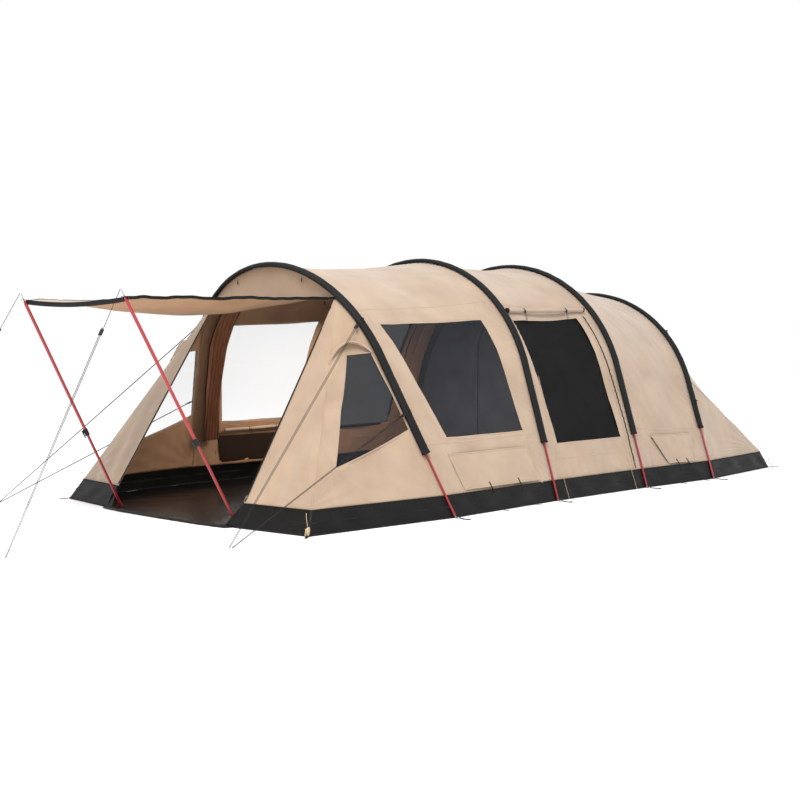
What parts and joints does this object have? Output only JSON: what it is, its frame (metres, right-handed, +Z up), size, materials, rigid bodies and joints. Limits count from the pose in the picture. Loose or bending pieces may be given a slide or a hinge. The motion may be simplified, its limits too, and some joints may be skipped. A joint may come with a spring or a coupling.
{
  "type": "tunnel tent",
  "caption": "Tunnel tent in sand-coloured cloth with arched poles, side windows, ground skirt and a front door panel raised on poles as an awning.",
  "frame": {"origin": "the middle of the tent's footprint on the ground, guy lines left out", "axes": "+Z up, +Y along the tent from the entrance to the rear, X across"},
  "size_m": [3.76, 8.6417, 2.1116],
  "materials": {
    "frame_red": "satin",
    "sleeve_black": "matte",
    "fly_sand": "matte",
    "skirt_black": "matte",
    "window_clear": "gloss",
    "mesh_dark": "matte",
    "awning_red": "gloss",
    "clamp_black": "matte",
    "webbing_black": "matte",
    "pin_steel": "satin",
    "guy_cord": "matte",
    "inner_grey": "matte",
    "sheet_grey": "matte",
    "zip_black": "satin"
  },
  "bodies": {
    "tent": {"arch_foot_pins": "pin_steel", "arch_pole_1": "frame_red", "arch_pole_2": "frame_red", "arch_pole_3": "frame_red", "arch_pole_4": "frame_red", "fly_bay_1": "fly_sand", "fly_bay_2": "fly_sand", "fly_bay_3": "fly_sand", "front_gable": "fly_sand", "groundsheet": "sheet_grey", "guys_arch": "guy_cord", "guys_awning": "guy_cord", "inner_floor": "sheet_grey", "inner_tent": "inner_grey", "mesh_panels": "mesh_dark", "pole_sleeve_1": "sleeve_black", "pole_sleeve_2": "sleeve_black", "pole_sleeve_3": "sleeve_black", "pole_sleeve_4": "sleeve_black", "rear_wall": "fly_sand", "side_door_cords": "guy_cord", "side_door_rolls": "fly_sand", "side_windows": "window_clear", "skirt_rear": "skirt_black", "skirt_sides": "skirt_black", "toggles": "clamp_black", "webbing_tabs": "webbing_black", "window_blinds": "fly_sand", "window_hoods": "fly_sand", "wing_fronts": "fly_sand", "wing_sides": "fly_sand", "wing_windows": "window_clear", "zip_tapes": "zip_black"},
    "awning": {"awning_panel": "fly_sand", "awning_hem": "webbing_black"},
    "pole_right": {"awning_pole_upper_right": "awning_red", "eyelet_tab_right": "webbing_black", "pole_clamp_right": "clamp_black"},
    "pole_foot_right": {"awning_pole_lower_right": "awning_red"},
    "lever_right": {"clamp_lever_right": "clamp_black"},
    "flap_1_right": {"vent_flap_1_right": "fly_sand"},
    "flap_3_right": {"vent_flap_3_right": "fly_sand"},
    "front_slider_right": {"front_zip_slider_right": "zip_black"},
    "side_slider_right": {"side_zip_slider_right": "zip_black"},
    "runner_awning_right_body": {"runner_awning_right": "clamp_black"},
    "runner_upper_right_body": {"runner_upper_right": "clamp_black"},
    "runner_lower_right_body": {"runner_lower_right": "clamp_black"},
    "pole_left": {"awning_pole_upper_left": "awning_red", "eyelet_tab_left": "webbing_black", "pole_clamp_left": "clamp_black"},
    "pole_foot_left": {"awning_pole_lower_left": "awning_red"},
    "lever_left": {"clamp_lever_left": "clamp_black"},
    "flap_1_left": {"vent_flap_1_left": "fly_sand"},
    "flap_3_left": {"vent_flap_3_left": "fly_sand"},
    "front_slider_left": {"front_zip_slider_left": "zip_black"},
    "side_slider_left": {"side_zip_slider_left": "zip_black"},
    "runner_awning_left_body": {"runner_awning_left": "clamp_black"},
    "runner_upper_left_body": {"runner_upper_left": "clamp_black"},
    "runner_lower_left_body": {"runner_lower_left": "clamp_black"},
    "inner_door_body": {"inner_door": "inner_grey"}
  },
  "joints": [
    {"name": "awning_fold", "type": "hinge", "parent": "tent", "child": "awning", "pos_m": [0, -1.87988, 1.715], "axis": [1, 0, 0], "range_deg": [0, 56]},
    {"name": "pole_swing_right", "type": "hinge", "parent": "awning", "child": "pole_right", "pos_m": [0.664, -3.7764, 1.6815], "axis": [1, 0, 0], "range_deg": [0, 60]},
    {"name": "pole_slide_right", "type": "slide", "parent": "pole_right", "child": "pole_foot_right", "axis": [-0.0432, -0.4778, 0.8774], "range_m": [0, 0.55]},
    {"name": "clamp_lever_right", "type": "hinge", "parent": "pole_right", "child": "lever_right", "pos_m": [0.71469, -3.25896, 0.64004], "axis": [-0.9991, 0.0207, -0.038], "range_deg": [0, 100]},
    {"name": "vent_1_right", "type": "hinge", "parent": "tent", "child": "flap_1_right", "pos_m": [1.48079, -0.84205, 0.46737], "axis": [-0.0096, -0.9999, -0.0049], "range_deg": [0, 45]},
    {"name": "vent_3_right", "type": "hinge", "parent": "tent", "child": "flap_3_right", "pos_m": [1.53991, 1.86704, 0.45319], "axis": [-0.0344, -0.9991, 0.026], "range_deg": [0, 45]},
    {"name": "front_zip_right", "type": "slide", "parent": "tent", "child": "front_slider_right", "axis": [-0.0319, 0.5407, 0.8406], "range_m": [0, 1.58]},
    {"name": "side_zip_right", "type": "slide", "parent": "tent", "child": "side_slider_right", "axis": [-0.297, 0, 0.9549], "range_m": [0, 0.65]},
    {"name": "runner_awning_right", "type": "slide", "parent": "tent", "child": "runner_awning_right_body", "axis": [0.0848, -0.4947, -0.8649], "range_m": [0, 0.6]},
    {"name": "runner_upper_right", "type": "slide", "parent": "tent", "child": "runner_upper_right_body", "axis": [0.2232, -0.7348, -0.6405], "range_m": [0, 0.6]},
    {"name": "runner_lower_right", "type": "slide", "parent": "tent", "child": "runner_lower_right_body", "axis": [0.098, -0.9163, -0.3883], "range_m": [0, 0.6]},
    {"name": "pole_swing_left", "type": "hinge", "parent": "awning", "child": "pole_left", "pos_m": [-0.664, -3.7764, 1.6815], "axis": [1, 0, 0], "range_deg": [0, 60]},
    {"name": "pole_slide_left", "type": "slide", "parent": "pole_left", "child": "pole_foot_left", "axis": [0.0432, -0.4778, 0.8774], "range_m": [0, 0.55]},
    {"name": "clamp_lever_left", "type": "hinge", "parent": "pole_left", "child": "lever_left", "pos_m": [-0.71469, -3.25896, 0.64004], "axis": [-0.9991, -0.0207, 0.038], "range_deg": [0, 100]},
    {"name": "vent_1_left", "type": "hinge", "parent": "tent", "child": "flap_1_left", "pos_m": [-1.48079, -0.84205, 0.46737], "axis": [-0.0096, 0.9999, 0.0049], "range_deg": [0, 45]},
    {"name": "vent_3_left", "type": "hinge", "parent": "tent", "child": "flap_3_left", "pos_m": [-1.53991, 1.86704, 0.45319], "axis": [-0.0344, 0.9991, -0.026], "range_deg": [0, 45]},
    {"name": "front_zip_left", "type": "slide", "parent": "tent", "child": "front_slider_left", "axis": [0.0319, 0.5407, 0.8406], "range_m": [0, 1.58]},
    {"name": "side_zip_left", "type": "slide", "parent": "tent", "child": "side_slider_left", "axis": [0.297, 0, 0.9549], "range_m": [0, 0.65]},
    {"name": "runner_awning_left", "type": "slide", "parent": "tent", "child": "runner_awning_left_body", "axis": [-0.0848, -0.4947, -0.8649], "range_m": [0, 0.6]},
    {"name": "runner_upper_left", "type": "slide", "parent": "tent", "child": "runner_upper_left_body", "axis": [-0.2232, -0.7348, -0.6405], "range_m": [0, 0.6]},
    {"name": "runner_lower_left", "type": "slide", "parent": "tent", "child": "runner_lower_left_body", "axis": [-0.098, -0.9163, -0.3883], "range_m": [0, 0.6]},
    {"name": "inner_door", "type": "hinge", "parent": "tent", "child": "inner_door_body", "pos_m": [-0.465, 1.3012, 0.94], "axis": [0, 0, -1], "range_deg": [0, 100]}
  ],
  "couplings": [
    {"joint": "pole_swing_right", "follows": "awning_fold", "ratio": 1.07},
    {"joint": "pole_slide_right", "follows": "awning_fold", "m_per_rad": 0.5625},
    {"joint": "pole_swing_left", "follows": "awning_fold", "ratio": 1.07},
    {"joint": "pole_slide_left", "follows": "awning_fold", "m_per_rad": 0.5625}
  ]
}
